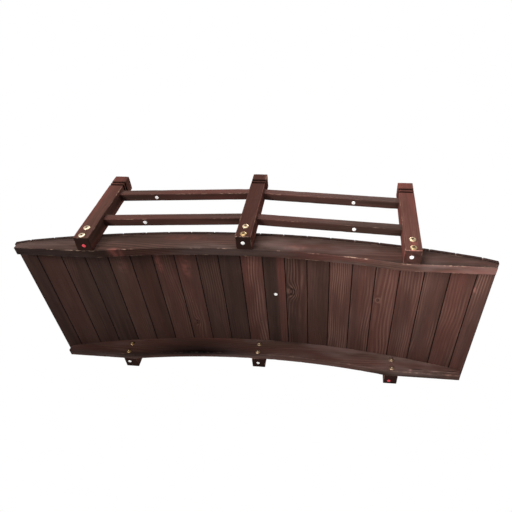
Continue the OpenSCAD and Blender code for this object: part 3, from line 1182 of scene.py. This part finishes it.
class MOONBRIDGE_OT_dots(bpy.types.Operator):
    """Stick the blank paper dots on post feet, rails and deck"""
    bl_idname = "moonbridge.dots"
    bl_label = "Paper dots"

    SIDES_OF_DOT = 24
    RED_POSTS = ("post_front_left", "post_back_right")
    # Distances of the dots under the rails from mid-span
    RAIL_DOTS = {
        ("left", "upper"): 0.352,
        ("left", "lower"): 0.345,
        ("right", "upper"): 0.334,
        ("right", "lower"): 0.337,
    }
    # Board with the dot under the deck, and how far in front of its middle the dot is
    DECK_DOT_BOARD = "board_12"
    DECK_DOT_FORWARD = 11 * MM
    # How far dots are off the middle of a post's foot
    OFF_CENTRE = {
        "post_front_left": Vector((0.002, 0.006, 0.0)),
        "post_front_middle": Vector((-0.002, 0.0, 0.0)),
        "post_front_right": Vector((-0.003, 0.0, 0.0)),
        "post_back_left": Vector((-0.006, -0.004, 0.0)),
        "post_back_middle": Vector((-0.0015, 0.0, 0.0)),
        "post_back_right": Vector((-0.005, 0.008, 0.0)),
    }

    def execute(self, context):
        look = settings().fittings
        r = look.dot_d / 2
        form = turned_form([(r, -0.3 * MM), (r, 0.2 * MM), (0.95 * r, 0.38 * MM), (0.5 * r, 0.44 * MM)],
                           self.SIDES_OF_DOT)
        white, red = bmesh.new(), bmesh.new()
        for side in SIDES:
            for station in STATIONS:
                node = f"post_{side}_{station}"
                low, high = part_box(node)
                foot = Vector(((low.x + high.x) / 2, (low.y + high.y) / 2, low.z)) + self.OFF_CENTRE[node]
                stamp(red if node in self.RED_POSTS else white, form, facing(-UP, foot))
            for (bay, level), at in self.RAIL_DOTS.items():
                self.rail_dot(white, form, f"rail_{side}_{bay}_{level}", at)
        _, normal, middle, size = board_lie(self.DECK_DOT_BOARD)
        place = middle - normal * size.z / 2 - ACROSS * self.DECK_DOT_FORWARD
        stamp(white, form, facing(-normal, place))
        form.free()
        for name, dots, shade in (("white", white, look.dot_white), ("red", red, look.dot_red)):
            paper = finish_of(f"paper_{name}", paper_nodes, shade=shade[:])
            finish_piece(f"dots_{name}", dots, paper)
        return {"FINISHED"}

    def rail_dot(self, target, form, node, at):
        """A dot under a rail, at a distance from mid-span."""
        along, normal, middle, size = rail_lie(node)
        x = math.copysign(at, middle.x)
        place = middle - normal * size.z / 2 + along * ((x - middle.x) / along.x)
        stamp(target, form, facing(-normal, place))


class MOONBRIDGE_OT_stage(bpy.types.Operator):
    """Set the floor, the lamps, the world and the camera"""
    bl_idname = "moonbridge.stage"
    bl_label = "Stage"

    FLOOR_SIZE = 9.0
    SENSOR_WIDTH = 36.0
    # Faint warmth of the even light
    EVEN_LIGHT = (1.0, 0.99, 0.98, 1.0)
    # Points that the lamps face
    BRIDGE_MIDDLE = (0.0, 0.0, 0.12)
    DECK_RIGHT = (0.55, -0.2, 0.1)
    # Spread of the gridded lamp
    GRID_SPREAD = math.radians(60)

    def execute(self, context):
        look = settings().stage
        scene = context.scene
        scene.view_settings.view_transform = "Standard"
        self.floor()
        self.world(scene, look)
        self.lamp("under_lamp", (-2.5, -2.9, -2.3), 1.4, look.under_power)
        self.lamp("deck_lamp", (0.7, -0.65, -1.1), 0.4, look.deck_power, self.DECK_RIGHT, self.GRID_SPREAD)
        self.lamp("front_lamp", (-0.4, -2.5, 0.6), 1.6, look.front_power)
        self.lamp("back_lamp", (-0.3, 2.5, 0.9), 1.6, look.back_power)
        self.lamp("top_lamp", (0.3, -0.2, 2.6), 1.8, look.top_power)
        self.camera(scene, look)
        return {"FINISHED"}

    def floor(self):
        bm = bmesh.new()
        bmesh.ops.create_grid(bm, x_segments=1, y_segments=1, size=self.FLOOR_SIZE)
        mesh = mesh_of("floor", bm)
        bm.free()
        mesh.materials.append(finish_of("pale_floor", floor_nodes))
        floor = add_object("floor", mesh)

    def world(self, scene, look):
        """Even light all round, and plain white where it is looked at or mirrored."""
        world = bpy.data.worlds.new("studio")
        scene.world = world
        world.use_nodes = True
        tree = Tree(world.node_tree)
        path = tree.node("ShaderNodeLightPath").outputs
        seen = tree.calc("MAXIMUM", path["Is Camera Ray"], path["Is Transmission Ray"])
        seen = tree.calc("MAXIMUM", seen, path["Is Glossy Ray"])
        even = tree.node("ShaderNodeBackground", {"Color": self.EVEN_LIGHT, "Strength": look.ambient})
        white = tree.node("ShaderNodeBackground", {"Color": WHITE, "Strength": 1.0})
        both = tree.mix_shaders(seen, even.outputs[0], white.outputs[0])
        tree.node("ShaderNodeOutputWorld", {"Surface": both})

    def lamp(self, name, place, size, power, target=BRIDGE_MIDDLE, spread=math.pi):
        """A square soft lamp that faces a point of the bridge."""
        data = bpy.data.lights.new(name, "AREA")
        data.shape = "SQUARE"
        data.size = size
        data.energy = power
        data.spread = spread
        lamp = add_object(name, data)
        aim = Vector(target) - Vector(place)
        lamp.matrix_world = Matrix.Translation(place) @ aim.to_track_quat("-Z", "Y").to_matrix().to_4x4()
        lamp.visible_camera = False

    def camera(self, scene, look):
        data = bpy.data.cameras.new("camera")
        data.lens = look.lens
        data.sensor_width = self.SENSOR_WIDTH
        data.shift_x = look.shift_x
        data.shift_y = look.shift_y
        camera = add_object("camera", data)
        camera.location = look.eye
        camera.rotation_euler = look.turn
        scene.camera = camera


class MOONBRIDGE_PT_panel(bpy.types.Panel):
    """Lists the steps that dress the bridge"""
    bl_idname = "MOONBRIDGE_PT_panel"
    bl_label = "Moon Bridge"
    bl_space_type = "VIEW_3D"
    bl_region_type = "UI"
    bl_category = "Moon Bridge"

    def draw(self, context):
        for operator in OPERATORS:
            self.layout.operator(operator.bl_idname)


OPERATORS = (
    MOONBRIDGE_OT_stringers,
    MOONBRIDGE_OT_boards,
    MOONBRIDGE_OT_posts,
    MOONBRIDGE_OT_rails,
    MOONBRIDGE_OT_bolts,
    MOONBRIDGE_OT_screws,
    MOONBRIDGE_OT_dots,
    MOONBRIDGE_OT_stage,
)
PROPERTY_GROUPS = (TimberLooks, BridgeSizes, FittingLooks, StageLooks, BridgeSettings)
CLASSES = (*PROPERTY_GROUPS, *OPERATORS, MOONBRIDGE_PT_panel)


def register():
    for cls in CLASSES:
        bpy.utils.register_class(cls)
    bpy.types.Scene.moon_bridge = PointerProperty(type=BridgeSettings)


def unregister():
    del bpy.types.Scene.moon_bridge
    for cls in reversed(CLASSES):
        bpy.utils.unregister_class(cls)


def main():
    register()
    bpy.ops.moonbridge.stringers()
    bpy.ops.moonbridge.boards()
    bpy.ops.moonbridge.posts()
    bpy.ops.moonbridge.rails()
    bpy.ops.moonbridge.bolts()
    bpy.ops.moonbridge.screws()
    bpy.ops.moonbridge.dots()
    bpy.ops.moonbridge.stage()


if __name__ == "__main__":
    main()
